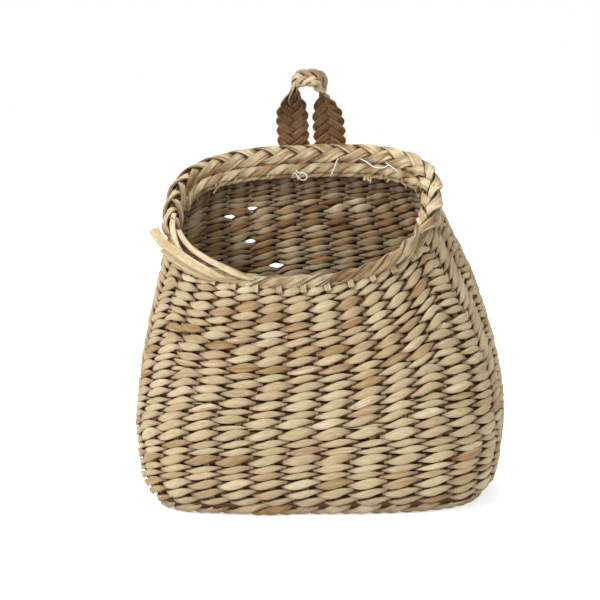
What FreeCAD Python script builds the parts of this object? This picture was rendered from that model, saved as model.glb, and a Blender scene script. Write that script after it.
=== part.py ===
import FreeCAD, Part
import math
import os

import Sketcher
from FreeCAD import Placement, Rotation, Vector

# Seagrass storage basket with a flat back, a tilted mouth and a braided hanging loop.
# Millimetres. X to the right, -Y to the front, +Z up. The base rests on z = 0.

doc = FreeCAD.newDocument("seagrass_basket")
sheet = doc.addObject("Spreadsheet::Sheet", "sizes")

SIZES = [
    ("back_plane", 80.0, "y of the flat back wall"),
    ("heel_half_width", 141.5, "half width of the section above the heel rounding"),
    ("belly_half_width", 149.0, "half width of the fullest course"),
    ("shoulder_half_width", 135.0, "half width two thirds up"),
    ("mouth_half_width", 110.0, "half width at the border"),
    ("heel_depth", 171.0, "front to back above the heel rounding"),
    ("belly_depth", 161.0, "front to back at the fullest course"),
    ("shoulder_depth", 140.0, "front to back two thirds up"),
    ("mouth_depth", 124.0, "front to back at the border"),
    ("belly_level", 0.34, "height fraction of the fullest course"),
    ("shoulder_level", 0.68, "height fraction of the shoulder"),
    ("belly_shift", 4.0, "sideways lean of the belly"),
    ("shoulder_shift", 0.3, "sideways lean of the shoulder"),
    ("mouth_shift", -7.0, "sideways lean of the mouth"),
    ("back_share", 0.4, "share of the depth behind the widest line"),
    ("front_power_low", 3.6, "roundness of the front at the foot"),
    ("front_power_top", 2.4, "roundness of the front at the border"),
    ("back_power_low", 3.6, "roundness of the back corners at the foot"),
    ("back_power_top", 2.8, "roundness of the back corners at the border"),
    ("heel_radius", 27.0, "rounding of the heel"),
    ("heel_pull", 0.9, "share of the heel radius drawn in at the floor"),
    ("front_wall_height", 172.0, "top of the weave at the front"),
    ("back_wall_height", 267.0, "top of the weave at the back"),
    ("weave_thickness", 3.2, "one face layer of the twining"),
    ("course_relief", 1.3, "groove depth between courses"),
    ("stake_depth", 2.6, "stake across the wall"),
    ("stake_breadth", 5.2, "stake along the wall"),
    ("seat_gap", 0.3, "clearance between touching woven pieces"),
    ("foot_height", 9.6, "top of the foot wale"),
    ("foot_width", 8.0, "foot wale on the floor"),
    ("foot_relief", 1.2, "swell of the foot wale at each stake"),
    ("mat_thickness", 3.6, "one layer of the base mat"),
    ("spoke_radius", 1.5, "base spoke"),
    ("spoke_pitch", 20.0, "spacing of the base spokes"),
    ("spoke_margin", 5.0, "spoke ends kept inside the mat edge"),
    ("border_overhang", 6.2, "plaited border outside the wall"),
    ("border_inhang", 1.4, "plaited border inside the wall"),
    ("border_height", 16.8, "plaited border above the weave"),
    ("border_bevel", 4.6, "cut corners of the border's section"),
    ("border_relief", 1.1, "swell of the border at each plait"),
    ("wrap_thickness", 2.2, "flat strand round the border's join"),
    ("wrap_drop", 6.0, "reach of the join strand below the border"),
    ("binding_depth", 3.2, "twisted binding inside the back"),
    ("binding_height", 4.4, "twisted binding row height"),
    ("binding_relief", 0.6, "swell of the binding at each twist"),
    ("strap_width", 26.0, "braided strap across its five strands"),
    ("strap_thickness", 6.0, "braided strap"),
    ("loop_shift", -4.0, "sideways place of the hanging loop"),
    ("leg_offset", 15.6, "strap leg centre from the loop centre"),
    ("loop_height", 51.5, "middle of the strap at the top, above the bend line"),
    ("loop_lean", 12.0, "forward lean of the loop, in degrees"),
    ("bend_rise", 22.0, "line the loop folds about, above the back wall"),
    ("tail_length", 53.0, "strap tail below the line the loop folds about"),
    ("tail_corner", 4.0, "cut corners of the strap tails"),
    ("stitch_width", 1.8, "valley in the tail that takes a stitch"),
    ("stitch_height", 12.0, "lower stitch above the tail's end"),
    ("stitch_pitch", 16.0, "spacing of the two stitches on a tail"),
    ("thread_radius", 0.6, "nylon thread"),
    ("thread_loop_radius", 5.5, "loose loop of nylon thread"),
]
for row, (name, value, note) in enumerate(SIZES, 1):
    sheet.set("A%d" % row, name)
    sheet.set("B%d" % row, str(value))
    sheet.setAlias("B%d" % row, name)
    sheet.set("C%d" % row, note)
doc.recompute()


def size(name):
    return float(sheet.get(name))


STAKES = 30
ROUND_SIDES = 8
COURSES = 27
GAP = size("seat_gap")
BACK = size("back_plane")
FOOT_TOP = size("foot_height") + GAP
LAYER = size("weave_thickness")
STAKE_OUT = -(LAYER + GAP)
STAKE_IN = STAKE_OUT - size("stake_depth")
INNER_OUT = STAKE_IN - GAP
INNER_IN = INNER_OUT - LAYER
# Wall heights, as a share of foot top to border, at which the smooth inner faces bend.
LEVELS = [0.0, 0.03, 0.07, 0.13, 0.24, 0.38, 0.54, 0.70, 0.85, 1.0]


def through(keys, level):
    """Smooth curve through (level, value) keys."""
    last = len(keys) - 1
    slopes = []
    for i in range(last + 1):
        a = keys[max(i - 1, 0)]
        b = keys[min(i + 1, last)]
        slopes.append((b[1] - a[1]) / (b[0] - a[0]))
    i = 0
    while i < last - 1 and level > keys[i + 1][0]:
        i += 1
    x0, y0 = keys[i]
    x1, y1 = keys[i + 1]
    step = x1 - x0
    u = (level - x0) / step
    rise = y1 - y0
    bend0 = slopes[i] * step - rise
    bend1 = rise - slopes[i + 1] * step
    return y0 + rise * u + u * (1 - u) * (bend0 * (1 - u) + bend1 * u)


def width_at(level):
    keys = [
        (0.0, size("heel_half_width")),
        (size("belly_level"), size("belly_half_width")),
        (size("shoulder_level"), size("shoulder_half_width")),
        (1.0, size("mouth_half_width")),
    ]
    return through(keys, level)


def depth_at(level):
    keys = [
        (0.0, size("heel_depth")),
        (size("belly_level"), size("belly_depth")),
        (size("shoulder_level"), size("shoulder_depth")),
        (1.0, size("mouth_depth")),
    ]
    return through(keys, level)


def shift_at(level):
    keys = [
        (0.0, size("belly_shift")),
        (size("belly_level"), size("belly_shift")),
        (size("shoulder_level"), size("shoulder_shift")),
        (1.0, size("mouth_shift")),
    ]
    return through(keys, level)


def heel_inset(height):
    radius = size("heel_radius")
    lack = max(0.0, 1.0 - height / radius)
    return size("heel_pull") * radius * (1.0 - math.sqrt(1.0 - lack * lack))


def outline(angle, level, height):
    """Point of the basket's outer face; angle runs anticlockwise from +X seen from above."""
    inset = heel_inset(height)
    half = width_at(level) - inset
    depth = depth_at(level)
    back = size("back_share") * depth
    front = depth - back
    co = math.cos(angle)
    si = math.sin(angle)
    if si > 0:
        power = size("back_power_low") + level * (size("back_power_top") - size("back_power_low"))
        reach = back - inset
    else:
        power = size("front_power_low") + level * (size("front_power_top") - size("front_power_low"))
        reach = front - inset
    radius = (abs(co) ** power + abs(si) ** power) ** (-1.0 / power)
    return Vector(half * radius * co + shift_at(level), BACK - back + reach * radius * si, height)


MOUTH_SLOPE = (size("back_wall_height") - size("front_wall_height")) / size("mouth_depth")


def top_height(y):
    """Height of the sloping plane on which the weave ends."""
    return size("back_wall_height") + MOUTH_SLOPE * (y - BACK)


def even_angles(count, level, samples=720):
    """Angles that share a section's girth evenly, half a share off the +X side."""
    height = level * size("front_wall_height")
    points = [outline(2.0 * math.pi * i / samples, level, height) for i in range(samples + 1)]
    run = [0.0]
    for before, after in zip(points, points[1:]):
        run.append(run[-1] + before.distanceToPoint(after))
    angles = []
    i = 0
    for k in range(count):
        target = run[-1] * (k + 0.5) / count
        while run[i + 1] < target:
            i += 1
        share = (target - run[i]) / (run[i + 1] - run[i])
        angles.append(2.0 * math.pi * (i + share) / samples)
    return angles


# Corners of the wall stand midway between neighbouring stakes, so every stake has a flat facet.
CORNERS = even_angles(STAKES, size("belly_level"))
TOPS = [top_height(outline(angle, 1.0, size("back_wall_height")).y) for angle in CORNERS]


def offset_ring(points, distance):
    """Moves a closed ring sideways by a distance, keeping its facets parallel."""
    moved = []
    for k, point in enumerate(points):
        before = point - points[k - 1]
        after = points[(k + 1) % len(points)] - point
        a = Vector(before.y, -before.x, 0).normalize()
        b = Vector(after.y, -after.x, 0).normalize()
        mitre = (a + b) * (1.0 / (1.0 + a.dot(b)))
        moved.append(point + mitre * distance)
    return moved


def wall_ring(share, distance):
    """Ring of the wall at a share of its height, set in or out of the outer face."""
    points = []
    for angle, top in zip(CORNERS, TOPS):
        height = FOOT_TOP + share * (top - FOOT_TOP)
        points.append(outline(angle, height / top, height))
    moved = offset_ring(points, distance)
    for point, start in zip(moved, points):
        point.z += share * MOUTH_SLOPE * (point.y - start.y)
    return moved


def flat_ring(height, distance):
    points = [outline(angle, 0.0, height) for angle in CORNERS]
    return offset_ring(points, distance)


def stations(points):
    """Adds the middle of every facet to a ring."""
    full = []
    for k, point in enumerate(points):
        full.append(point)
        full.append((point + points[(k + 1) % len(points)]) * 0.5)
    return full


def swell(points, distance):
    """Pushes every second station of a ring outwards."""
    shifted = offset_ring(points, distance)
    return [shifted[k] if k % 2 else points[k] for k in range(len(points))]


def band(rings):
    """Closed solid whose section corners are the given rings, taken in order."""
    wires = [Part.makePolygon(ring + [ring[0]]) for ring in rings]
    shell = Part.makeLoft(wires + [wires[0]], False, True)
    skin = Part.Compound(shell.Faces)
    skin.sewShape()
    return Part.Solid(skin.Shells[0])


def faceted(rows, ring=True):
    """Closed solid with flat three-sided facets between closed rows of points; ring joins last to first."""
    faces = []
    pairs = list(zip(rows, rows[1:]))
    if ring:
        pairs.append((rows[-1], rows[0]))
    for row, after in pairs:
        for k in range(len(row)):
            a, b = row[k - 1], row[k]
            c, d = after[k], after[k - 1]
            faces.append(Part.Face(Part.makePolygon([a, b, c, a])))
            faces.append(Part.Face(Part.makePolygon([a, c, d, a])))
    if not ring:
        for row in (rows[0], rows[-1]):
            faces.append(Part.Face(Part.makePolygon(row + [row[0]])))
    skin = Part.Compound(faces)
    skin.sewShape()
    return Part.Solid(skin.Shells[0])


def strip(sections):
    """Closed solid through four-cornered or longer sections, with flat ends."""
    return Part.makeLoft([Part.makePolygon(s + [s[0]]) for s in sections], True, True)


def feature(name, shape):
    """A sub-part whose shape is worked out from the sheet."""
    if shape.Volume < 0:
        shape.reverse()
    item = doc.addObject("Part::Feature", name)
    item.Label = name
    item.Shape = shape
    item.Placement = Placement()
    return item


nodes = {}

# Outer and inner faces of the twining. Each course is one ridge between two grooves.
outer_rings = []
inner_rings = []
for step in range(2 * COURSES + 1):
    share = step / (2.0 * COURSES)
    groove = 0.0 if step % 2 else size("course_relief")
    outer_rings.append(wall_ring(share, -groove))
    inner_rings.append(wall_ring(share, INNER_IN + groove))
outer_backs = [wall_ring(share, -LAYER) for share in LEVELS]
inner_backs = [wall_ring(share, INNER_OUT) for share in LEVELS]
nodes["outer_weave"] = feature("outer_weave", band(outer_rings + outer_backs[::-1]))
nodes["inner_weave"] = feature("inner_weave", band(inner_rings + inner_backs[::-1]))

# Upright stakes, held between the two faces at the middle of each facet.
stake_faces = [(wall_ring(share, STAKE_OUT), wall_ring(share, STAKE_IN)) for share in LEVELS]
for k in range(STAKES):
    sections = []
    for outer, inner in stake_faces:
        half = (outer[k] - outer[k - 1]).normalize() * (size("stake_breadth") / 2.0)
        front = (outer[k] + outer[k - 1]) * 0.5
        rear = (inner[k] + inner[k - 1]) * 0.5
        sections.append([front - half, front + half, rear + half, rear - half])
    name = "stake_%02d" % (k + 1)
    nodes[name] = feature(name, strip(sections))

# Foot wale: the thick twisted course that turns the base up into the wall.
foot_top = size("foot_height")
foot_rings = []
for height, distance in ((foot_top, 0.0), (foot_top * 0.45, 0.0), (foot_top * 0.1, 1.0)):
    foot_rings.append(swell(stations(flat_ring(height, distance)), size("foot_relief")))
for height, distance in ((0.0, 0.0), (0.0, -size("foot_width")), (foot_top, -size("foot_width"))):
    foot_rings.append([Vector(p.x, p.y, height) for p in stations(flat_ring(0.0, distance))])
nodes["foot_wale"] = feature("foot_wale", faceted(foot_rings))

# Base: two woven mats with straight spokes between them, inside the foot wale.
mat_edge = flat_ring(0.0, -size("foot_width") - GAP)
mat_outline = doc.addObject("Part::Feature", "mat_outline")
mat_outline.Shape = Part.makePolygon(mat_edge + [mat_edge[0]])
for name, height in (
    ("base_outer_mat", "0"),
    ("base_inner_mat", "sizes.mat_thickness + 2 * sizes.seat_gap + 2 * sizes.spoke_radius"),
):
    mat = doc.addObject("Part::Extrusion", name)
    mat.Label = name
    mat.Base = mat_outline
    mat.DirMode = "Custom"
    mat.Dir = Vector(0, 0, 1)
    mat.Solid = True
    mat.setExpression("LengthFwd", "sizes.mat_thickness")
    mat.setExpression("Placement.Base.z", height)
    nodes[name] = mat


def crossings(x):
    """Front and back of the mat on a line of constant x."""
    found = []
    for k, point in enumerate(mat_edge):
        after = mat_edge[(k + 1) % len(mat_edge)]
        if (point.x - x) * (after.x - x) < 0:
            share = (x - point.x) / (after.x - point.x)
            found.append(point.y + share * (after.y - point.y))
    return min(found), max(found)


spokes = []
for place in range(-4, 5):
    x = size("belly_shift") + place * size("spoke_pitch")
    front, back = crossings(x)
    spoke = doc.addObject("Part::Prism", "spoke")
    spoke.Polygon = ROUND_SIDES
    spoke.setExpression("Circumradius", "sizes.spoke_radius")
    spoke.Height = back - front - 2 * size("spoke_margin")
    spoke.Placement = Placement(Vector(x, front + size("spoke_margin"), 0), Rotation(Vector(1, 0, 0), -90))
    spoke.setExpression("Placement.Base.z", "sizes.mat_thickness + sizes.seat_gap + sizes.spoke_radius")
    spokes.append(spoke)
nodes["base_spokes"] = doc.addObject("Part::Compound", "base_spokes")
nodes["base_spokes"].Links = spokes

# Plaited border on the sloping top of the wall, with a pocket for the strap at the back.
rim_line = stations(wall_ring(1.0, 0.0))
RIM_OUT = size("border_overhang")
RIM_IN = INNER_IN - size("border_inhang")
RIM_TOP = size("border_height")
BEVEL = size("border_bevel")


def rim_ring(across, above, bulge=0.0, lift=0.0):
    """Ring along the mouth; bulge and lift swell every second station."""
    points = swell(offset_ring(rim_line, across), bulge)
    ring = []
    for k, p in enumerate(points):
        ring.append(Vector(p.x, p.y, top_height(p.y) + above + (lift if k % 2 else 0.0)))
    return ring


relief = size("border_relief")
border = [
    rim_ring(RIM_OUT - 0.6 * BEVEL, GAP),
    rim_ring(RIM_OUT, BEVEL, relief),
    rim_ring(RIM_OUT, RIM_TOP - BEVEL, relief),
    rim_ring(RIM_OUT - BEVEL, RIM_TOP, relief, relief),
    rim_ring(RIM_IN + BEVEL, RIM_TOP, 0.0, relief),
    rim_ring(RIM_IN, RIM_TOP - BEVEL, -relief),
    rim_ring(RIM_IN, BEVEL, -relief),
    rim_ring(RIM_IN + 0.4 * BEVEL, GAP),
]
rim_blank = feature("rim_blank", faceted(border))
pocket = doc.addObject("Part::Box", "strap_pocket")
pocket.setExpression("Length", "2 * sizes.leg_offset + sizes.strap_width + 2 * sizes.seat_gap")
pocket.setExpression("Width", "3 * sizes.border_overhang")
pocket.setExpression("Height", "3 * sizes.border_height")
pocket.setExpression(
    "Placement.Base.x", "sizes.loop_shift - sizes.leg_offset - sizes.strap_width / 2 - sizes.seat_gap"
)
pocket.setExpression("Placement.Base.y", "sizes.back_plane")
pocket.setExpression("Placement.Base.z", "sizes.back_wall_height - sizes.border_height")
rim = doc.addObject("Part::Cut", "rim_border")
rim.Label = "rim_border"
rim.Base = rim_blank
rim.Tool = pocket
nodes["rim_border"] = rim

# Flat strand that closes the border's join at the left.
def station_at(degrees):
    """Station of the border nearest to a compass angle, seen from above."""
    target = math.radians(degrees)
    nearest = min(range(STAKES), key=lambda k: abs(CORNERS[k] - target))
    return 2 * nearest


JOIN_FIRST = station_at(200.0)
JOIN_LAST = JOIN_FIRST + 3
clear = GAP + relief
thick = size("wrap_thickness")
drop = size("wrap_drop")
wrap_path = []
for skin in (clear + thick, clear):
    ease = relief + 0.25 * skin
    wrap_path.append([
        (size("border_bevel") * 0.55 + skin - clear, -drop),
        (RIM_OUT + skin, 0.4 * BEVEL),
        (RIM_OUT + skin, RIM_TOP - BEVEL + ease),
        (RIM_OUT - BEVEL + ease, RIM_TOP + skin),
        (RIM_IN + BEVEL - ease, RIM_TOP + skin),
        (RIM_IN - skin, RIM_TOP - BEVEL + ease),
        (RIM_IN - skin, -drop),
    ])
wrap_rings = [rim_ring(across, above) for across, above in wrap_path[0] + wrap_path[1][::-1]]
wrap_sections = [[ring[k] for ring in wrap_rings] for k in range(JOIN_FIRST, JOIN_LAST + 1)]
nodes["rim_join_wrap"] = feature("rim_join_wrap", strip(wrap_sections))

# Twisted bindings under the border, round the inside of the back.
BIND_FIRST = station_at(25.0)
BIND_LAST = station_at(155.0)
bind_out = INNER_IN - GAP
bind_in = bind_out - size("binding_depth")
bind_high = size("binding_height")
bind_swell = size("binding_relief")
for row in range(2):
    top = -row * (bind_high + GAP)
    low = top - bind_high
    corners = [
        rim_ring(bind_out, low),
        rim_ring(bind_in, low + 0.3 * bind_high, -bind_swell),
        rim_ring(bind_in, top - 0.3 * bind_high, -bind_swell),
        rim_ring(bind_out, top),
    ]
    name = "rim_binding_%d" % (row + 1)
    sections = [[ring[k] for ring in corners] for k in range(BIND_FIRST, BIND_LAST + 1)]
    nodes[name] = feature(name, strip(sections))

# Hanging loop: one flat braided strap whose legs turn a quarter on the way to the top.
half_width = size("strap_width") / 2.0
half_thick = size("strap_thickness") / 2.0
strap_y = BACK + GAP + half_thick
bend = size("back_wall_height") + size("bend_rise")
loop_x = size("loop_shift")
fold_line = Vector(loop_x, strap_y, bend)
lean = Rotation(Vector(1, 0, 0), size("loop_lean"))
LOOP_STEPS = 32
TWIST_START = 0.04
TWIST_END = 0.36


def loop_point(turn):
    """Centre of the strap, turn running 0 to 1 from the left leg to the right."""
    side = -math.cos(math.pi * turn)
    rise = math.sin(math.pi * turn)
    spread = math.copysign(abs(side) ** 0.45, side)
    return Vector(loop_x + size("leg_offset") * spread, strap_y, bend + size("loop_height") * rise ** 0.92)


def leg_twist(turn):
    """Quarter turn of the strap, full at the legs and gone at the top."""
    share = (min(turn, 1.0 - turn) - TWIST_START) / (TWIST_END - TWIST_START)
    share = max(0.0, min(1.0, share))
    smooth = share * share * (3.0 - 2.0 * share)
    return -90.0 * (1.0 - smooth)


loop_sections = []
for step in range(LOOP_STEPS + 1):
    turn = step / float(LOOP_STEPS)
    ahead = loop_point(min(1.0, turn + 0.01)) - loop_point(max(0.0, turn - 0.01))
    if step in (0, LOOP_STEPS):
        ahead = Vector(0, 0, 1 if step == 0 else -1)
    ahead.normalize()
    spin = Rotation(ahead, leg_twist(turn))
    across = spin.multVec(Vector(0, 1, 0)) * half_width
    through_strap = spin.multVec(ahead.cross(Vector(0, 1, 0))) * half_thick
    centre = loop_point(turn) - fold_line
    corners = (-across - through_strap, across - through_strap, across + through_strap, through_strap - across)
    loop_sections.append([fold_line + lean.multVec(centre + corner) for corner in corners])
loop_parts = []
for side in (-1, 1):
    start = Vector(loop_x + side * size("leg_offset") - half_width, strap_y, bend)
    loop_parts.append(Part.makeCylinder(half_thick, 2 * half_width, start, Vector(1, 0, 0)))
nodes["hanging_loop"] = feature("hanging_loop", faceted(loop_sections, False).fuse(loop_parts))


def place_point(sketch, index, across, up):
    """Ties a corner of a sketch to two expressions."""
    for kind, text in (("DistanceX", across), ("DistanceY", up)):
        number = sketch.addConstraint(Sketcher.Constraint(kind, -1, 1, index, 1, 1.0))
        sketch.setExpression("Constraints[%d]" % number, text)


def origin_part(body, role):
    """Plane or axis of a body's origin."""
    return [part for part in body.Origin.OriginFeatures if part.Role == role][0]


def outline_sketch(body, name, plane, corners):
    """Closed polygon sketch with every corner set from the sheet."""
    sketch = body.newObject("Sketcher::SketchObject", name)
    sketch.AttachmentSupport = (origin_part(body, plane), [""])
    sketch.MapMode = "FlatFace"
    count = len(corners)
    spots = [Vector(math.cos(2 * math.pi * k / count), math.sin(2 * math.pi * k / count), 0) for k in range(count)]
    for k in range(count):
        sketch.addGeometry(Part.LineSegment(spots[k], spots[(k + 1) % count]), False)
    for k in range(count):
        sketch.addConstraint(Sketcher.Constraint("Coincident", k, 2, (k + 1) % count, 1))
    for k, (across, up) in enumerate(corners):
        place_point(sketch, k, across, up)
    return sketch


# Strap tails stitched to the outside of the back wall, below the line the loop folds about.
TAIL_BOTTOM = "sizes.back_wall_height + sizes.bend_rise - sizes.tail_length"
for name, side in (("loop_tail_left", -1), ("loop_tail_right", 1)):
    body = doc.addObject("PartDesign::Body", name)
    body.Label = name
    wide = "sizes.strap_width / 2"
    tall = "(sizes.tail_length - sizes.strap_thickness / 2 - sizes.seat_gap)"
    cut = "sizes.tail_corner"
    corners = [
        ("-%s + %s" % (wide, cut), "0"),
        ("%s - %s" % (wide, cut), "0"),
        (wide, cut),
        (wide, tall),
        ("-%s" % wide, tall),
        ("-%s" % wide, cut),
    ]
    tail_sketch = outline_sketch(body, name + "_outline", "XZ_Plane", corners)
    pad = body.newObject("PartDesign::Pad", name + "_pad")
    pad.Profile = tail_sketch
    pad.setExpression("Length", "sizes.strap_thickness")
    low = "sizes.stitch_height"
    high = "sizes.stitch_height + sizes.stitch_width"
    valley = [
        ("-sizes.stitch_width", low),
        ("sizes.stitch_width", low),
        ("sizes.stitch_width", high),
        ("-sizes.stitch_width", high),
    ]
    valley_sketch = outline_sketch(body, name + "_valley_outline", "YZ_Plane", valley)
    groove_cut = body.newObject("PartDesign::Pocket", name + "_valley")
    groove_cut.Profile = valley_sketch
    groove_cut.Type = "ThroughAll"
    groove_cut.Midplane = True
    row = body.newObject("PartDesign::LinearPattern", name + "_valleys")
    row.Originals = [groove_cut]
    row.Direction = (origin_part(body, "Z_Axis"), [""])
    row.setExpression("Length", "sizes.stitch_pitch")
    row.Occurrences = 2
    body.Tip = row
    body.setExpression("Placement.Base.x", "sizes.loop_shift + %d * sizes.leg_offset" % side)
    body.setExpression("Placement.Base.y", "sizes.back_plane + sizes.seat_gap + sizes.strap_thickness")
    body.setExpression("Placement.Base.z", TAIL_BOTTOM)
    nodes[name] = body

# Nylon stitches lying in the valleys of the tails, and the loose thread ends inside the border.
stitches = []
for side in (-1, 1):
    for level in range(2):
        stitch = doc.addObject("Part::Prism", "stitch")
        stitch.Polygon = ROUND_SIDES
        stitch.setExpression("Circumradius", "sizes.thread_radius")
        stitch.setExpression("Height", "sizes.strap_width")
        stitch.Placement = Placement(Vector(), Rotation(Vector(0, 1, 0), 90))
        stitch.setExpression(
            "Placement.Base.x", "sizes.loop_shift + %d * sizes.leg_offset - sizes.strap_width / 2" % side
        )
        stitch.setExpression(
            "Placement.Base.y",
            "sizes.back_plane + 2 * sizes.seat_gap + sizes.strap_thickness"
            " - sizes.stitch_width + sizes.thread_radius",
        )
        stitch.setExpression(
            "Placement.Base.z",
            TAIL_BOTTOM + " + sizes.stitch_height + sizes.stitch_width / 2 + %d * sizes.stitch_pitch" % level,
        )
        stitches.append(stitch)
nodes["tail_stitches"] = doc.addObject("Part::Compound", "tail_stitches")
nodes["tail_stitches"].Links = stitches

rim_face = BACK + RIM_IN - relief - GAP
bind_face = BACK + bind_in - bind_swell - GAP
THREADS = (("nylon_curl", bind_face, -16.0, -3.0, 250.0), ("nylon_loop", rim_face, 18.0, 7.0, 320.0))
for name, face, x, above, sweep in THREADS:
    centre = Vector(x, face - size("thread_radius"), top_height(face) + above)
    sections = []
    steps = 16
    for step in range(steps + 1):
        turn = math.radians(sweep * step / steps)
        ray = Vector(math.cos(turn), 0, math.sin(turn))
        section = []
        for side in range(ROUND_SIDES):
            angle = 2.0 * math.pi * side / ROUND_SIDES
            out = ray * math.cos(angle) + Vector(0, 1, 0) * math.sin(angle)
            section.append(centre + ray * size("thread_loop_radius") + out * size("thread_radius"))
        sections.append(section)
    nodes[name] = feature(name, faceted(sections, False))

doc.recompute()
faults = []
for item in doc.Objects:
    if "Invalid" in item.State or "Error" in item.State:
        faults.append(item.Name)
for name, item in nodes.items():
    if item.Shape.isNull() or not item.Shape.isValid():
        faults.append(name)
if faults:
    raise RuntimeError("not built: " + ", ".join(faults))

os.makedirs("parts", exist_ok=True)
for name, item in nodes.items():
    item.Shape.exportStep("parts/%s.step" % name)
print(len(nodes), "nodes written")
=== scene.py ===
"""Seagrass storage basket: twined wall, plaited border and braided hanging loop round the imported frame."""
import math

import bpy
import numpy as np
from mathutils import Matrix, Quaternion, Vector


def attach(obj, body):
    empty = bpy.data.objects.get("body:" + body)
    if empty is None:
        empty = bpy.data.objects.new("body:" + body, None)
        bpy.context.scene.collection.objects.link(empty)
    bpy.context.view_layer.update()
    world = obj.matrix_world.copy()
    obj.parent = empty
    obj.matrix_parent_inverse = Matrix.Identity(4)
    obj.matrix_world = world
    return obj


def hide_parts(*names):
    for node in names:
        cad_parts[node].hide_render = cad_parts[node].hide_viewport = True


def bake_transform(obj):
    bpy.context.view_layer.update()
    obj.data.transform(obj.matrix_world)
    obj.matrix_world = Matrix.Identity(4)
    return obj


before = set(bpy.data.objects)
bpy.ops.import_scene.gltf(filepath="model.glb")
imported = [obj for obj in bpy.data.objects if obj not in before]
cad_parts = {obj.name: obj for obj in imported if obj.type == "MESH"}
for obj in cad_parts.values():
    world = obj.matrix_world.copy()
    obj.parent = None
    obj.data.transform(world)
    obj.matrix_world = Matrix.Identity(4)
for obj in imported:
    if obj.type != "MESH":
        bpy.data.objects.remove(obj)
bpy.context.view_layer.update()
rng = np.random.default_rng(11)

MM = 0.001
STAKES = 30

# ---------------------------------------------------------------- the basket's form, in millimetres
BACK = 80.0
FOOT_TOP = 9.9
LEVELS = [0.0, 0.34, 0.68, 1.0]
HALF_WIDTHS = [143.5, 151.6, 137.2, 110.4]
DEPTHS = [171.0, 161.0, 140.0, 124.0]
SHIFTS = [4.0, 4.0, 0.3, -7.0]
BACK_SHARE = 0.4
FRONT_POWERS = (3.6, 2.4)
BACK_POWERS = (3.6, 2.8)
HEEL_RADIUS = 27.0
HEEL_PULL = 0.9
FRONT_HEIGHT = 172.0
BACK_HEIGHT = 267.0
MOUTH_SLOPE = (BACK_HEIGHT - FRONT_HEIGHT) / DEPTHS[-1]
WALL = 9.6
GIRTH_STEPS = 721
# small steps along and up the wall that directions are read from
NEAR_STAKE = 0.02
NEAR_SHARE = 0.004
NEAR_ANGLE = 0.01


def through(keys, values, at):
    """Smooth curve through keys and values."""
    keys = np.asarray(keys, float)
    values = np.asarray(values, float)
    last = len(keys) - 1
    low = np.maximum(np.arange(last + 1) - 1, 0)
    high = np.minimum(np.arange(last + 1) + 1, last)
    slopes = (values[high] - values[low]) / (keys[high] - keys[low])
    at = np.asarray(at, float)
    i = np.searchsorted(keys[1:-1], at, side="left")
    step = keys[i + 1] - keys[i]
    u = (at - keys[i]) / step
    rise = values[i + 1] - values[i]
    bend0 = slopes[i] * step - rise
    bend1 = rise - slopes[i + 1] * step
    return values[i] + rise * u + u * (1 - u) * (bend0 * (1 - u) + bend1 * u)


def outline(angle, level, height):
    """x and y of the outer face at an angle, a share of the wall's height and a height."""
    lack = np.maximum(0.0, 1.0 - height / HEEL_RADIUS)
    inset = HEEL_PULL * HEEL_RADIUS * (1.0 - np.sqrt(np.maximum(0.0, 1.0 - lack * lack)))
    half = through(LEVELS, HALF_WIDTHS, level) - inset
    depth = through(LEVELS, DEPTHS, level)
    back = BACK_SHARE * depth
    co = np.cos(angle)
    si = np.sin(angle)
    power_back = BACK_POWERS[0] + level * (BACK_POWERS[1] - BACK_POWERS[0])
    power_front = FRONT_POWERS[0] + level * (FRONT_POWERS[1] - FRONT_POWERS[0])
    power = np.where(si > 0, power_back, power_front)
    reach = np.where(si > 0, back - inset, depth - back - inset)
    radius = (np.abs(co) ** power + np.abs(si) ** power) ** (-1.0 / power)
    return half * radius * co + through(LEVELS, SHIFTS, level), BACK - back + reach * radius * si


def mouth_height(y):
    return BACK_HEIGHT + MOUTH_SLOPE * (y - BACK)


def even_run(level):
    """Angles and the share of a section's girth reached at each."""
    angles = np.linspace(0.0, 2.0 * math.pi, GIRTH_STEPS)
    x, y = outline(angles, np.full_like(angles, level), np.full_like(angles, level * FRONT_HEIGHT))
    run = np.concatenate([[0.0], np.cumsum(np.hypot(np.diff(x), np.diff(y)))])
    return angles, run / run[-1]


RUN_ANGLES, RUN_SHARES = even_run(LEVELS[1])


def angle_at(stake):
    """Angle of a place counted in stakes from the +X side, anticlockwise from above."""
    share = np.asarray(stake, float) / STAKES
    whole = np.floor(share)
    return np.interp(share - whole, RUN_SHARES, RUN_ANGLES) + 2.0 * math.pi * whole


def stake_at(degrees):
    turn = math.radians(degrees)
    whole = math.floor(turn / (2.0 * math.pi))
    return STAKES * (whole + float(np.interp(turn - 2.0 * math.pi * whole, RUN_ANGLES, RUN_SHARES)))


def wall_top(stake):
    angle = angle_at(stake)
    _, y = outline(angle, np.ones_like(angle), np.full_like(angle, BACK_HEIGHT))
    return mouth_height(y)


def face(stake, share):
    """Outer face at a place and a share of the height from the foot to the border."""
    stake, share = np.broadcast_arrays(np.asarray(stake, float), np.asarray(share, float))
    top = wall_top(stake)
    z = FOOT_TOP + share * (top - FOOT_TOP)
    x, y = outline(angle_at(stake), z / top, z)
    return np.stack([x, y, z], -1)


UPWARD = np.array([0.0, 0.0, 1.0])


def unit(v):
    return v / np.maximum(np.linalg.norm(v, axis=-1, keepdims=True), 1e-9)


def length_along(path):
    """Distance from the start of a path at each of its points."""
    return np.concatenate([[0.0], np.cumsum(np.linalg.norm(np.diff(path, axis=0), axis=1))])


def smooth_step(share):
    return share * share * (3.0 - 2.0 * share)


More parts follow.
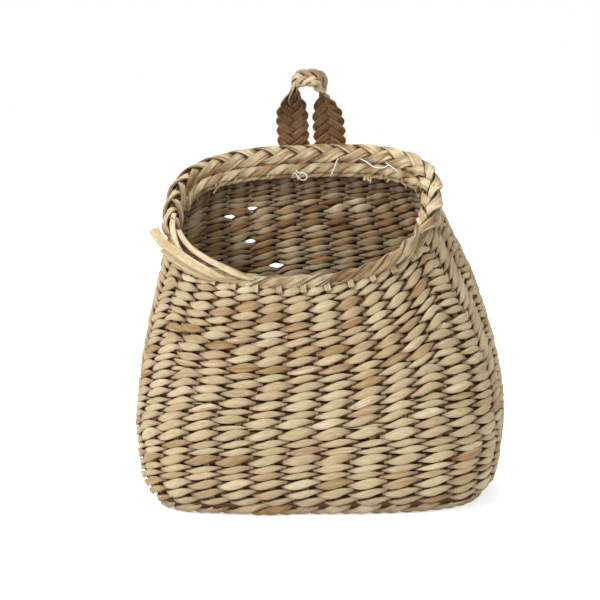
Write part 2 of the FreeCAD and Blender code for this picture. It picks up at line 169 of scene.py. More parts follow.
def outward(stake, share):
    """Horizontal outward direction, tilted into the mouth's plane towards the top."""
    ahead = face(np.asarray(stake) + NEAR_STAKE, share) - face(np.asarray(stake) - NEAR_STAKE, share)
    out = unit(np.stack([ahead[..., 1], -ahead[..., 0], np.zeros_like(ahead[..., 0])], -1))
    out[..., 2] = np.asarray(share) * MOUTH_SLOPE * out[..., 1]
    return out


def wall_frame(stake, share, reach):
    """Point at a reach out from the middle of the wall, with its outward and upward directions."""
    stake, share = np.broadcast_arrays(np.asarray(stake, float), np.asarray(share, float))
    along = unit(face(stake + NEAR_STAKE, share) - face(stake - NEAR_STAKE, share))
    up = unit(face(stake, share + NEAR_SHARE) - face(stake, share - NEAR_SHARE))
    out = unit(np.cross(along, up))
    middle = face(stake, share) - outward(stake, share) * (WALL / 2.0)
    return middle + out * np.broadcast_to(reach, stake.shape)[:, None], out, up


# ---------------------------------------------------------------- strands
# three low ridges wind round each strand
RIDGES = 3.0
RIDGE_HEIGHT = 0.1
RIDGE_TURN = 0.12
RIDGE_START = 6.28
# length, width and depth that one unit of the fibre pattern covers
GRAIN_LONG = 16.0
GRAIN_WIDE = 0.9
GRAIN_DEEP = 1.4
GRAIN_PLACES = 400
# painted shade: how far the shade on the face turned from deep spreads round a strand, how narrow the shade at the
# two sides is (also the crease's sharpness), and the darkest shade
UNDER_SPREAD = 1.6
EDGE_SHARPNESS = 8
DARKEST = 0.95
THIN = 0.5
# a thin leaf of painted shade fills each course where only shade would show
SHADE_SHEET_TONE = 0.15
SHADE_SHEET_SHADE = 0.8


class Bundle:
    """Gathers leaf strands into one mesh, with what the fibre material needs at each vertex."""

    def __init__(self):
        self.points, self.faces, self.grain, self.tone, self.shade = [], [], [], [], []
        self.count = 0

    def strand(
        self, path, wide, deep, half_wide, half_deep, tone, shade=0.0, sides=10, square=2.4, closed=False,
        crease=0.0, under=0.0, edge=0.3,
    ):
        """A leaf strand along a path: its section lies on the wide and deep directions.

        square rounds the section (2 is an ellipse), crease hollows both faces, and under and edge add painted
        shade on the face turned from deep and on the two sides.
        """
        n = len(path)
        half_wide = np.broadcast_to(np.asarray(half_wide, float), (n,))
        half_deep = np.broadcast_to(np.asarray(half_deep, float), (n,))
        tone = np.broadcast_to(np.asarray(tone, float), (n,))
        shade = np.broadcast_to(np.asarray(shade, float), (n,))
        angle = 2.0 * math.pi * np.arange(sides) / sides
        across = np.sign(np.cos(angle)) * np.abs(np.cos(angle)) ** (2.0 / square)
        thick = np.sign(np.sin(angle)) * np.abs(np.sin(angle)) ** (2.0 / square)
        run = length_along(path)
        spiral = run * RIDGE_TURN + rng.uniform(0, RIDGE_START)
        if closed:
            turns = np.round(run[-1] * RIDGE_TURN / (2.0 * math.pi))
            spiral = spiral[0] + turns * 2.0 * math.pi * run / run[-1]
        ridge = 1.0 + RIDGE_HEIGHT * np.cos(RIDGES * angle[None, :] + spiral[:, None])
        ridge -= crease * np.sin(angle)[None, :] ** EDGE_SHARPNESS
        a = half_wide[:, None] * across[None, :]
        b = half_deep[:, None] * thick[None, :] * ridge
        ring = path[:, None, :] + wide[:, None, :] * a[..., None] + deep[:, None, :] * b[..., None]
        place = rng.uniform(0, GRAIN_PLACES, 3)
        along = np.broadcast_to(run[:, None], a.shape) / GRAIN_LONG
        grain = np.stack([along, a * GRAIN_WIDE, b * GRAIN_DEEP], -1) + place
        index = self.count + np.arange(n * sides).reshape(n, sides)
        nxt = np.roll(index, -1, axis=1)
        quads = np.stack([index[:-1], nxt[:-1], nxt[1:], index[1:]], -1).reshape(-1, 4)
        self.faces.append(quads)
        self.points.append(ring.reshape(-1, 3))
        self.grain.append(grain.reshape(-1, 3))
        self.tone.append(np.repeat(tone, sides))
        # painted shade on the face turned from deep (under) and on the two sides (edge)
        facing = under * np.clip(-np.sin(angle) * UNDER_SPREAD, 0.0, 1.0) + edge * np.cos(angle) ** EDGE_SHARPNESS
        self.shade.append(np.clip(shade[:, None] + facing[None, :], 0.0, DARKEST).ravel())
        self.count += n * sides
        if closed:
            return
        for end, flip in ((0, True), (n - 1, False)):
            centre = self.count
            self.points.append(path[end:end + 1])
            self.grain.append(grain[end, :1])
            self.tone.append(tone[end:end + 1])
            self.shade.append(shade[end:end + 1])
            self.count += 1
            rim = index[end]
            after = nxt[end]
            middle = np.full(sides, centre)
            order = (after, rim, middle, middle) if flip else (rim, after, middle, middle)
            self.faces.append(np.stack(order, -1))

    def shade_sheet(self, path, wide, deep, half_wide, half_deep, closed=True):
        """A thin leaf inside a course, darkened with painted shade, so that no light shows where its strands cross.
        """
        self.strand(
            path, wide, deep, half_wide, half_deep, SHADE_SHEET_TONE, SHADE_SHEET_SHADE, sides=4, square=2.0, closed=closed
        )

    def build(self, name, material):
        points = np.concatenate(self.points) * MM
        faces = np.concatenate(self.faces)
        mesh = bpy.data.meshes.new(name)
        # a triangle is kept as a quad whose last two corners are the same
        four = faces[:, 2] != faces[:, 3]
        corners = np.where(four, 4, 3)
        kept = np.ones(faces.shape, bool)
        kept[:, 3] = four
        loops = faces[kept]
        mesh.vertices.add(len(points))
        mesh.vertices.foreach_set("co", points.ravel())
        mesh.loops.add(len(loops))
        mesh.loops.foreach_set("vertex_index", loops)
        mesh.polygons.add(len(faces))
        mesh.polygons.foreach_set("loop_start", np.concatenate([[0], np.cumsum(corners)[:-1]]))
        mesh.polygons.foreach_set("loop_total", corners)
        mesh.polygons.foreach_set("use_smooth", np.ones(len(faces), bool))
        mesh.update()
        mesh.validate()
        grain = mesh.attributes.new("grain", "FLOAT_VECTOR", "POINT")
        grain.data.foreach_set("vector", np.concatenate(self.grain).ravel())
        for label, values in (("tone", self.tone), ("shade", self.shade)):
            layer = mesh.attributes.new(label, "FLOAT", "POINT")
            layer.data.foreach_set("value", np.concatenate(values))
        piece = bpy.data.objects.new(name, mesh)
        bpy.context.scene.collection.objects.link(piece)
        mesh.materials.append(material)
        return piece


def srgb(red, green, blue):
    """Linear colour from the 0 to 255 numbers a colour is usually written in."""
    values = []
    for number in (red, green, blue):
        v = number / 255.0
        values.append(v / 12.92 if v <= 0.04045 else ((v + 0.055) / 1.055) ** 2.4)
    return (*values, 1.0)


LEAF_ROUGHNESS = 0.62
LEAF_SPECULAR = 0.35
FIBRE_SCALE = 2.6
FIBRE_DETAIL = 4.0
FIBRE_ROUGHNESS = 0.62
BLOTCH_SCALE = 0.5
BLOTCH_DETAIL = 2.0
TONE_DRIFT = 0.5
STREAK_FROM = (0.32, 0.62)
STREAK_BRIGHT = 1.08
DENT_DEPTH = 0.0007


def leaf_material(name, stops, shade_colour=(72, 44, 18), bump=0.55, streaks=0.66):
    """Dried seagrass: long fibres and a colour for each leaf, with painted shade: the shade attribute mixes in the
    shade colour in folds, gaps and shaded faces.
    """
    mat = bpy.data.materials.new(name)
    mat.use_nodes = True
    tree = mat.node_tree
    nodes = tree.nodes
    links = tree.links
    shader = nodes["Principled BSDF"]
    shader.inputs["Roughness"].default_value = LEAF_ROUGHNESS
    shader.inputs["Specular IOR Level"].default_value = LEAF_SPECULAR
    grain, tone, shade = (nodes.new("ShaderNodeAttribute") for _ in range(3))
    grain.attribute_name = "grain"
    tone.attribute_name = "tone"
    shade.attribute_name = "shade"
    ramp = nodes.new("ShaderNodeValToRGB")
    ramp.color_ramp.elements[0].position = stops[0][0]
    ramp.color_ramp.elements[0].color = srgb(*stops[0][1])
    ramp.color_ramp.elements[1].position = stops[-1][0]
    ramp.color_ramp.elements[1].color = srgb(*stops[-1][1])
    for place, colour in stops[1:-1]:
        element = ramp.color_ramp.elements.new(place)
        element.color = srgb(*colour)
    fibre = nodes.new("ShaderNodeTexNoise")
    fibre.inputs["Scale"].default_value = FIBRE_SCALE
    fibre.inputs["Detail"].default_value = FIBRE_DETAIL
    fibre.inputs["Roughness"].default_value = FIBRE_ROUGHNESS
    blotch = nodes.new("ShaderNodeTexNoise")
    blotch.inputs["Scale"].default_value = BLOTCH_SCALE
    blotch.inputs["Detail"].default_value = BLOTCH_DETAIL
    links.new(grain.outputs["Vector"], fibre.inputs["Vector"])
    links.new(grain.outputs["Vector"], blotch.inputs["Vector"])
    # the tone moves a little along each leaf
    drift = nodes.new("ShaderNodeMath")
    drift.operation = "MULTIPLY_ADD"
    drift.inputs[1].default_value = TONE_DRIFT
    drift.inputs[2].default_value = -TONE_DRIFT / 2.0
    links.new(blotch.outputs["Fac"], drift.inputs[0])
    total = nodes.new("ShaderNodeMath")
    total.operation = "ADD"
    links.new(tone.outputs["Fac"], total.inputs[0])
    links.new(drift.outputs[0], total.inputs[1])
    links.new(total.outputs[0], ramp.inputs["Fac"])
    streak = nodes.new("ShaderNodeMapRange")
    streak.inputs["From Min"].default_value = STREAK_FROM[0]
    streak.inputs["From Max"].default_value = STREAK_FROM[1]
    streak.inputs["To Min"].default_value = streaks
    streak.inputs["To Max"].default_value = STREAK_BRIGHT
    links.new(fibre.outputs["Fac"], streak.inputs["Value"])
    lit = nodes.new("ShaderNodeMix")
    lit.data_type = "RGBA"
    lit.blend_type = "MULTIPLY"
    lit.inputs["Factor"].default_value = 1.0
    links.new(streak.outputs["Result"], lit.inputs["B"])
    # painted shade: the shade attribute mixes the leaf's colour towards the shade colour
    shade_mix = nodes.new("ShaderNodeMix")
    shade_mix.data_type = "RGBA"
    shade_mix.blend_type = "MIX"
    shade_mix.inputs["B"].default_value = srgb(*shade_colour)
    links.new(shade.outputs["Fac"], shade_mix.inputs["Factor"])
    links.new(ramp.outputs["Color"], shade_mix.inputs["A"])
    links.new(shade_mix.outputs["Result"], lit.inputs["A"])
    links.new(lit.outputs["Result"], shader.inputs["Base Color"])
    dent = nodes.new("ShaderNodeBump")
    dent.inputs["Strength"].default_value = bump
    dent.inputs["Distance"].default_value = DENT_DEPTH
    links.new(fibre.outputs["Fac"], dent.inputs["Height"])
    links.new(dent.outputs["Normal"], shader.inputs["Normal"])
    return mat


STRAW = [
    (0.0, (114, 80, 42)), (0.18, (158, 121, 74)), (0.36, (188, 163, 126)), (0.52, (195, 174, 136)),
    (0.68, (206, 187, 149)), (0.82, (221, 205, 172)), (0.91, (194, 165, 129)), (1.0, (174, 141, 106)),
]
PALE_STRAW = [
    (0.0, (104, 70, 34)), (0.2, (152, 119, 74)), (0.4, (186, 156, 112)), (0.6, (204, 179, 136)),
    (0.82, (226, 207, 168)), (1.0, (178, 143, 104)),
]
weave_mat = leaf_material("twined_seagrass", STRAW)
border_mat = leaf_material("border_seagrass", PALE_STRAW, bump=0.7, streaks=0.56)
# the strap's painted shade is a warmer, more saturated colour
strap_mat = leaf_material("strap_seagrass", PALE_STRAW, shade_colour=(112, 68, 16), bump=1.0, streaks=0.25)
stake_mat = leaf_material(
    "stake_seagrass", [(0.0, (120, 98, 66)), (0.5, (150, 124, 86)), (1.0, (176, 150, 108))]
)


def wander(length, step, low, high):
    """Slowly changing values along a strand, one every step samples."""
    knots = rng.uniform(low, high, int(length / step) + 3)
    return np.interp(np.arange(length) / step, np.arange(len(knots)), knots)


def patchy(length, step, tones):
    """Tones that change from leaf to leaf along a strand."""
    return np.interp(np.arange(length), np.arange(0, length + step, step), rng.choice(tones, length // step + 2))


def meet(values, count):
    """Leads the last values of a closed ring back to its first."""
    values[-count:] = np.linspace(values[-count], values[0], count)


def add_piece(bundle, name, material, slot, *nodes):
    """Builds a piece on the basket, with the finish and the CAD nodes it stands for."""
    piece = bundle.build(name, material)
    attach(piece, "basket")
    if nodes:
        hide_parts(*nodes)


# ---------------------------------------------------------------- the twined wall
FULL_ROWS = 26
SHORT_ROWS = 20
ROW_PITCH = 6.23
CROWD = 1.33
FIRST_SHORT = 8
SHORT_ORDER = 7
ROW_SIZES = (0.78, 1.24)
JOG_KEPT = 0.8
JOG_STEP = 0.11
SAMPLES = 9
# a segment: reach out of the wall's middle, slant, and half width at its ends and middle as shares of the row
OUTSIDE = 2.9
SLANT = 0.28
TIP = 0.14
BELLY = 0.40
SEGMENT_DEPTH = 1.4
OUTSIDE_POWER = 0.62
BELLY_POWER = 0.85
SEGMENT_TWIST = 0.2
FADE = 0.2
# half depth and least half width of the thin leaf of painted shade in each row
ROW_SHADE_SHEET_DEPTH = 0.6
LEAST_SHADE_SHEET_WIDTH = 0.2
# colours of the segments: middle and spread, the odd ones, and the painted shade that the folds and the inside add;
# inside faces also move to browner tones as painted shade and warm bounce light
BASE_TONES = (0.38, 0.64)
TONE_SPREAD = 0.10
TONE_LIMITS = (0.24, 0.84)
ODD_SHARE = 0.04
ODD_TONES = (0.86, 0.97)
INSIDE_SHADE = 0.08
INSIDE_SHADE_TONE = 0.2
INSIDE_SPREAD = 1.5
FOLD_SHADE = 0.36
FOLD_SHADE_INSIDE = 0.5
FOLD_SHARPNESS = 10.0
FOLD_SOFTER_INSIDE = 6.0
SEGMENT_DARKEST = 0.85
WALL_RISE = 7.0
# painted shadow that the border casts on the inside of the wall, a band under it
BORDER_SHADOW = 0.55
BORDER_SHADOW_START = 0.875
BORDER_SHADOW_FADE = 0.05
# places where two rows part and the light shows through: stake and share of the height
OPENINGS = [(9.5, 0.868), (10.45, 0.862), (9.6, 0.766), (8.6, 0.672)]
OPENING_HALF = 2.9
OPENING_REACH = 11.0
OPENING_WIDE = 0.23

# a full row goes right round; a short one has its turn in the order that short rows appear
row_kinds = []
short = 0
for row in range(FULL_ROWS):
    row_kinds.append(None)
    share_done = (row - FIRST_SHORT + 1) / float(FULL_ROWS - FIRST_SHORT)
    while short < SHORT_ROWS and short < share_done * SHORT_ROWS:
        row_kinds.append((short * SHORT_ORDER) % SHORT_ROWS)
        short += 1
row_sizes = rng.uniform(*ROW_SIZES, len(row_kinds))


def row_weights(stake):
    """Height share of each row at a place: full rows count about 1, short ones fade in towards the back."""
    need = CROWD * ((wall_top(stake) - FOOT_TOP) / ROW_PITCH - FULL_ROWS)
    weights = []
    for kind, size in zip(row_kinds, row_sizes):
        weights.append(np.full_like(need, size) if kind is None else size * np.clip(need - kind, 0.0, 1.0))
    return np.array(weights)


def twine_row(bundle, stakes, low, high, jog):
    """One course: a pair of wefts that cross between the stakes."""
    middle = (low + high) / 2.0
    top = wall_top(stakes) - FOOT_TOP
    tall = (high - low) * top
    n = len(stakes)
    closed = abs(stakes[-1] - stakes[0] - STAKES) < 1e-6
    fade = np.ones(n)
    if not closed:
        ends = np.minimum(np.arange(n), np.arange(n)[::-1]) / (0.5 * SAMPLES)
        fade = np.clip(ends, FADE, 1.0)
    phase = jog + wander(n, SAMPLES * 4, -0.10, 0.10)
    if closed:
        meet(phase, SAMPLES * 4)
    for spot, share in OPENINGS:
        near = np.abs((stakes - spot + STAKES / 2.0) % STAKES - STAKES / 2.0)
        away = middle[near.argmin()] - share
        push = OPENING_HALF * np.exp(-abs(away) * BACK_HEIGHT / OPENING_REACH) * np.sign(away)
        middle = middle + push * np.exp(-((near / OPENING_WIDE) ** 4)) / top
    inner = slice(None, None, 3)
    point, out, up = wall_frame(stakes[inner], middle[inner], np.zeros(n)[inner])
    # a thin leaf of painted shade along the middle of the row
    bundle.shade_sheet(point, up, out, np.maximum(tall[inner] * 0.5, LEAST_SHADE_SHEET_WIDTH), ROW_SHADE_SHEET_DEPTH, closed)
    for weft in range(2):
        turn = math.pi * (stakes + weft + phase)
        fat = wander(n, SAMPLES * 1.1, 0.84, 1.16)
        lift = wander(n, SAMPLES * 0.9, -0.08, 0.08)
        bulge = wander(n, SAMPLES * 0.8, -0.4, 0.4)
        roll = wander(n, SAMPLES * 1.0, -0.18, 0.18)
        if closed:
            for drift in (fat, lift, bulge, roll):
                meet(drift, SAMPLES)
        outside = np.cos(turn)
        rise = (SLANT * np.sin(turn) + lift) * tall
        reach = (OUTSIDE * np.sign(outside) * np.abs(outside) ** OUTSIDE_POWER + bulge) * fade
        point, out, up = wall_frame(stakes, middle + rise / top, reach)
        step = unit(np.gradient(point, axis=0))
        tilt = roll + SEGMENT_TWIST * np.sin(2.0 * turn)
        wide = up * np.cos(tilt)[:, None] + out * np.sin(tilt)[:, None]
        wide = unit(wide - step * np.sum(wide * step, axis=1)[:, None])
        deep = np.cross(step, wide)
        half_wide = tall * (TIP + BELLY * np.abs(outside) ** BELLY_POWER) * fat
        half_deep = SEGMENT_DEPTH * np.clip(tall / ROW_PITCH * 1.2, 0.15, 1.0) * fade
        segment = np.floor(stakes + weft + jog + 0.5).astype(int)
        base_tone = rng.uniform(*BASE_TONES)
        picks = base_tone + rng.normal(0.0, TONE_SPREAD, segment.max() - segment.min() + 1)
        odd = rng.random(len(picks)) < ODD_SHARE
        picks = np.where(odd, rng.uniform(*ODD_TONES, len(picks)), np.clip(picks, *TONE_LIMITS))
        if closed:
            picks[-1] = picks[0]
        # painted shade: inside faces take browner tones and more shade, the folds where a weft turns darken, and so
        # do the sides of each segment (edge)
        inward = np.clip(-outside * INSIDE_SPREAD, 0.0, 1.0)
        tone = picks[segment - segment.min()] - INSIDE_SHADE_TONE * inward
        fold = np.abs(np.sin(turn)) ** (FOLD_SHARPNESS - FOLD_SOFTER_INSIDE * inward)
        shade = inward * INSIDE_SHADE + (FOLD_SHADE + FOLD_SHADE_INSIDE * inward) * fold
        # painted shadow of the border on the upper inside wall
        shade += inward * BORDER_SHADOW * np.clip((middle - BORDER_SHADOW_START) / BORDER_SHADOW_FADE, 0.0, 1.0)
        bundle.strand(
            point, wide, deep, half_wide, half_deep, tone, np.clip(shade, 0.0, SEGMENT_DARKEST),
            square=3.0, closed=closed, edge=0.2,
        )


def row_shares(stakes, weights):
    """Share of the height at the lower and upper side of each row."""
    shares = np.concatenate([np.zeros((1, len(stakes))), np.cumsum(weights, 0)]) / weights.sum(0)
    return shares * (1.0 + WALL_RISE / (wall_top(stakes) - FOOT_TOP))


ring = np.linspace(0.0, STAKES, STAKES * SAMPLES + 1)
ring_shares = row_shares(ring, row_weights(ring))
BACK_START = -7.3
ARC_STAKES = STAKES / 2.0 - 2.0 * BACK_START
THINNEST_ROW = 0.08
arc = np.linspace(BACK_START, BACK_START + ARC_STAKES, int(ARC_STAKES * SAMPLES) + 1)
arc_weights = row_weights(arc)
arc_shares = row_shares(arc, arc_weights)

bundles = [Bundle(), Bundle(), Bundle()]
jog = 0.0
for row, kind in enumerate(row_kinds):
    bundle = bundles[min(2, row * 3 // len(row_kinds))]
    jog = JOG_KEPT * jog + rng.uniform(-JOG_STEP, JOG_STEP)
    if kind is None:
        twine_row(bundle, ring, ring_shares[row], ring_shares[row + 1], jog)
        continue
    shown = np.nonzero(arc_weights[row] > THINNEST_ROW)[0]
    if len(shown) < 2 * SAMPLES:
        continue
    part = slice(shown[0], shown[-1] + 1)
    twine_row(bundle, arc[part], arc_shares[row][part], arc_shares[row + 1][part], jog)
add_piece(bundles[0], "wall_weave_low", weave_mat, "woven_seagrass", "outer_weave", "inner_weave")
add_piece(bundles[1], "wall_weave_middle", weave_mat, "woven_seagrass")
add_piece(bundles[2], "wall_weave_upper", weave_mat, "woven_seagrass")

# ---------------------------------------------------------------- stakes
STAKE_HALF_WIDE = 1.45
STAKE_HALF_DEEP = 1.15
STAKE_APART = 0.05
stake_bundle = Bundle()
heights = np.linspace(0.0, 1.0, 26)
for k in range(STAKES):
    for side in (-STAKE_APART, STAKE_APART):
        point, out, up = wall_frame(k + side, heights, 0.0)
        # painted shade: each stake is mixed a quarter towards the shade colour, and its sides darker
        stake_bundle.strand(
            point, np.cross(up, out), out, STAKE_HALF_WIDE, STAKE_HALF_DEEP, rng.uniform(0.1, 0.9), 0.25, sides=8
        )
add_piece(
    stake_bundle, "upright_stakes", stake_mat, "stake_reed", *["stake_%02d" % (k + 1) for k in range(STAKES)]
)

# ---------------------------------------------------------------- foot wale
# the lump at the left of the foot
LUMP_STAKE = 20.6
LUMP_WIDE = 0.9
LUMP_OUT = 2.6
ROPE_STRANDS = 2
FOOT_ROPE = (2.5, 4.4, 2.3)
INNER_FOOT_ROPE = (2.5, 4.2, 2.2)
FOOT_MIDDLE = 5.6
FOOT_UNEVEN = 0.9
FOOT_TONES = np.linspace(0.2, 0.75, 9)
INNER_FOOT_TONES = np.linspace(0.2, 0.7, 9)
foot = Bundle()
foot_stakes = np.linspace(0.0, STAKES, STAKES * 10 + 1)


def foot_point(stake, height, inset):
    """Point at a height on the heel and an inset from its face, with the outward direction."""
    angle = angle_at(stake)
    h = np.broadcast_to(np.asarray(height, float), angle.shape)
    x, y = outline(angle, np.zeros_like(angle), h)
    x1, y1 = outline(angle + NEAR_ANGLE, np.zeros_like(angle), h)
    x0, y0 = outline(angle - NEAR_ANGLE, np.zeros_like(angle), h)
    out = unit(np.stack([y1 - y0, x0 - x1, np.zeros_like(x)], -1))
    return np.stack([x, y, h], -1) - out * np.broadcast_to(inset, angle.shape)[:, None], out


def rope(bundle, core, out, up, twist, size, tones, shade=0.0, closed=True):
    """Two strands laid round a core line.

    twist is the turn at each point, and size the strands' distance from the core, half width and half depth.
    """
    radius, half_wide, half_deep = size
    for k in range(ROPE_STRANDS):
        turn = twist + 2.0 * math.pi * k / ROPE_STRANDS
        deep = out * np.cos(turn)[:, None] + up * np.sin(turn)[:, None]
        wide = up * np.cos(turn)[:, None] - out * np.sin(turn)[:, None]
        drift = wander(len(core), 11, 0.92, 1.08)
        if closed:
            meet(drift, 10)
        tone = patchy(len(core), 12, tones)
        bundle.strand(
            core + deep * radius, wide, deep, half_wide * drift, half_deep * drift, tone, shade, closed=closed
        )


core, foot_out = foot_point(foot_stakes, 5.0, 4.6)
core[:, 2] = FOOT_MIDDLE
uneven = wander(len(foot_stakes), 9, -FOOT_UNEVEN, FOOT_UNEVEN)
meet(uneven, 9)
lump = np.exp(-((foot_stakes - LUMP_STAKE) / LUMP_WIDE) ** 2)
core += foot_out * (uneven + LUMP_OUT * lump)[:, None]
up_line = np.broadcast_to(UPWARD, core.shape)
rope(foot, core, foot_out, up_line, math.pi * foot_stakes, FOOT_ROPE, FOOT_TONES)
inner_core, inner_out = foot_point(foot_stakes, 3.0, 13.0)
inner_core[:, 2] = FOOT_MIDDLE
rope(foot, inner_core, inner_out, up_line, math.pi * foot_stakes + 1.0, INNER_FOOT_ROPE, INNER_FOOT_TONES)
# thin leaves of painted shade between the foot ropes and up the heel, so that no light shows through
foot.shade_sheet(foot_point(foot_stakes, 5.0, 13.0)[0], foot_out, up_line, 10.5, THIN)
foot.shade_sheet(foot_point(foot_stakes, 9.5, 4.8)[0], up_line, foot_out, 4.2, THIN)
add_piece(foot, "foot_course", weave_mat, "woven_seagrass", "foot_wale")

# ---------------------------------------------------------------- base mat
BASE_ROWS = 9
BASE_INSET = 6.0
BASE_MIDDLE = 5.4
BASE_REACH = 3.2
BASE_DEPTH = 1.6
BASE_INSIDE_SHADE = 0.3
SPINE = 52.0
base = Bundle()
edge, _ = foot_point(foot_stakes, 0.0, BASE_INSET)
spine = edge.copy()
spine[:, 0] = np.clip(edge[:, 0], SHIFTS[0] - SPINE, SHIFTS[0] + SPINE)
spine[:, 1] = (edge[:, 1].max() + edge[:, 1].min()) / 2.0
inward = unit(spine - edge)
tall = np.linalg.norm(edge - spine, axis=1) / BASE_ROWS
down = np.broadcast_to(-UPWARD, edge.shape)
for row in range(BASE_ROWS):
    share = (BASE_ROWS - row - 0.5) / BASE_ROWS
    line = spine + (edge - spine) * share
    line[:, 2] += BASE_MIDDLE
    # a thin leaf of painted shade in each row
    base.shade_sheet(line, inward, down, tall * 0.54, THIN)
    for weft in range(2):
        turn = math.pi * (foot_stakes + weft)
        point = line + inward * (SLANT * np.sin(turn) * tall)[:, None] + down * (BASE_REACH * np.cos(turn))[:, None]
        wide = inward * np.cos(turn)[:, None] - down * np.sin(turn)[:, None]
        deep = down * np.cos(turn)[:, None] + inward * np.sin(turn)[:, None]
        tones = rng.uniform(FOOT_TONES[0], FOOT_TONES[-1], len(line) // 10 + 2)
        tone = np.interp(np.arange(len(line)), np.arange(0, len(line) + 10, 10), tones)
        # painted shade on the faces turned into the basket
        inside = np.clip(-np.cos(turn), 0.0, 1.0) * BASE_INSIDE_SHADE
        base.strand(point, wide, deep, tall * 0.52, BASE_DEPTH, tone, inside, closed=True)
add_piece(base, "base_weave", weave_mat, "woven_seagrass", "base_outer_mat", "base_inner_mat", "base_spokes")

# ---------------------------------------------------------------- plaited border
RIM_OUT = 6.2
RIM_IN = -11.0
RIM_MIDDLE = (RIM_OUT + RIM_IN) / 2.0
RIM_TOP = 16.8
RIM_SEAT = 0.2


def rim_frame(stake):
    """Core of the border with unit outward and upward directions square to the mouth."""
    stake = np.asarray(stake, float)
    ones = np.ones_like(stake)
    out = outward(stake, ones)
    line = face(stake, ones) + out * RIM_MIDDLE
    line[:, 2] += RIM_TOP / 2.0 + RIM_SEAT
    out = unit(out)
    return line, out, unit(UPWARD - out * out[:, 2:])


def leaf_on(bundle, point, radial, half_wide, half_deep, tone, **more):
    """A leaf that lies flat on a surface with the given outward direction."""
    ahead = unit(np.gradient(point, axis=0))
    wide = unit(np.cross(radial, ahead))
    bundle.strand(point, wide, np.cross(ahead, wide), half_wide, half_deep, tone, **more)


def on_border(keys, count):
    """Smooth line over the border through places given as stake, turn in degrees and distance from the core."""
    keys = np.array(keys, float)
    steps = np.arange(len(keys))
    at = np.linspace(0.0, len(keys) - 1.0, count)
    stake, turn, radius = (through(steps, keys[:, column], at) for column in range(3))
    core, out, up = rim_frame(stake)
    turn = np.radians(turn)
    radial = out * np.cos(turn)[:, None] + up * np.sin(turn)[:, None]
    return core + radial * radius[:, None], radial


def zigzag(p):
    """Side-to-side place of a plait's strand, from -1 to 1 and back in one turn of p."""
    q = (p % 1.0)
    tri = np.where(q < 0.5, -1.0 + 4.0 * q, 3.0 - 4.0 * q)
    return np.sin(tri * math.pi / 2.0) * 0.5 + tri * 0.5


def over_under(p, strands):
    """Height of a strand in a flat plait: over the others from an edge to the middle, then under them."""
    half = [1.0] * ((strands - 1) // 2) + [-1.0] * ((strands - 1) // 2)
    knots = np.array([0.0] + half + [0.0] + half + [0.0])
    q = (p % 1.0) * 2 * strands
    i = np.floor(q).astype(int)
    ease = smooth_step(q - i)
    return knots[i] * (1.0 - ease) + knots[i + 1] * ease


PALE = np.array([0.14, 0.3, 0.42, 0.52, 0.6, 0.68, 0.76, 0.84, 0.82])
PLAIT_STRANDS = 5
PLAIT_START = -2.3
PLAIT_PERIOD = 108.0
PLAIT_HALF_ARC = math.radians(88.0)
PLAIT_CENTRE = math.radians(108.0)
PLAIT_RADII = (6.9, 6.3)
PLAIT_LIFT = 1.7
LEAF_HALF = 1.95
LEAF_DEPTH = 1.3
LEAVES = 3
PLAIT_END = stake_at(206.0)
# painted shade on the plait: a little everywhere, more where a strand goes under the others
PLAIT_SHADE = 0.16
PLAIT_UNDER_SHADE = 0.9
# the plait narrows where it starts and ends under the front rope
TUCK_START = 24.0
TUCK_END = 16.0
TUCKED = 0.35

FRONT_STRANDS = 3
FRONT_START = 15.4
FRONT_END = 29.2
FRONT_DROP = 2.9
FRONT_RADIUS = 3.3
FRONT_LEAF = 2.1
FRONT_DEPTH = 1.35


core_stakes = np.linspace(0.0, STAKES, 241)
core_line, core_out, core_up = rim_frame(core_stakes)
plait_bundle = Bundle()
back_part = (core_stakes < PLAIT_END) | (core_stakes > STAKES + PLAIT_START)
core_reach = np.where(back_part, 6.0, 3.6)
# the core of the border, darkened as painted shade in the plait's crevices, less so on its outward and inward sides
plait_bundle.strand(
    core_line - core_up * np.where(back_part, 0.0, FRONT_DROP)[:, None], core_out, core_up, core_reach,
    core_reach - 0.8, 0.4, 0.8, sides=12, closed=True, edge=-0.5,
)
plait_stakes = np.linspace(PLAIT_START, PLAIT_END, 460)
line, out, up = rim_frame(plait_stakes)
run = length_along(line)
tuck = smooth_step(np.clip(np.minimum(run / TUCK_START, (run[-1] - run) / TUCK_END), 0.0, 1.0))
tuck = TUCKED + (1.0 - TUCKED) * tuck
for k in range(PLAIT_STRANDS):
    p = -run / PLAIT_PERIOD + k / PLAIT_STRANDS
    height = over_under(p, PLAIT_STRANDS)
    angle = PLAIT_CENTRE - zigzag(p) * PLAIT_HALF_ARC
    radial = out * np.cos(angle)[:, None] + up * np.sin(angle)[:, None]
    middle = (
        line
        + out * (PLAIT_RADII[0] * tuck * np.cos(angle))[:, None]
        + up * (PLAIT_RADII[1] * tuck * np.sin(angle))[:, None]
        + radial * (PLAIT_LIFT * height)[:, None]
    )
    side = unit(np.cross(radial, unit(np.gradient(middle, axis=0))))
    # painted shade where a strand goes under the others; the leaves' sides darken too (edge)
    shade = np.clip(PLAIT_SHADE - PLAIT_UNDER_SHADE * height, 0.0, 0.9)
    for sub in range(LEAVES):
        drift = wander(len(line), 14, 0.78, 1.14)
        spread = (sub - 1.0) * LEAF_HALF * 1.5 * wander(len(line), 18, 0.8, 1.1) * tuck
        sink = 0.55 * abs(sub - 1.0) + wander(len(line), 12, -0.25, 0.3)
        point = middle + side * spread[:, None] - radial * sink[:, None]
        leaf_on(
            plait_bundle, point, radial, LEAF_HALF * drift, LEAF_DEPTH, patchy(len(line), 13, PALE),
            shade=shade, sides=12, crease=0.5, edge=0.95,
        )
add_piece(plait_bundle, "border_plait", border_mat, "border_seagrass", "rim_border")

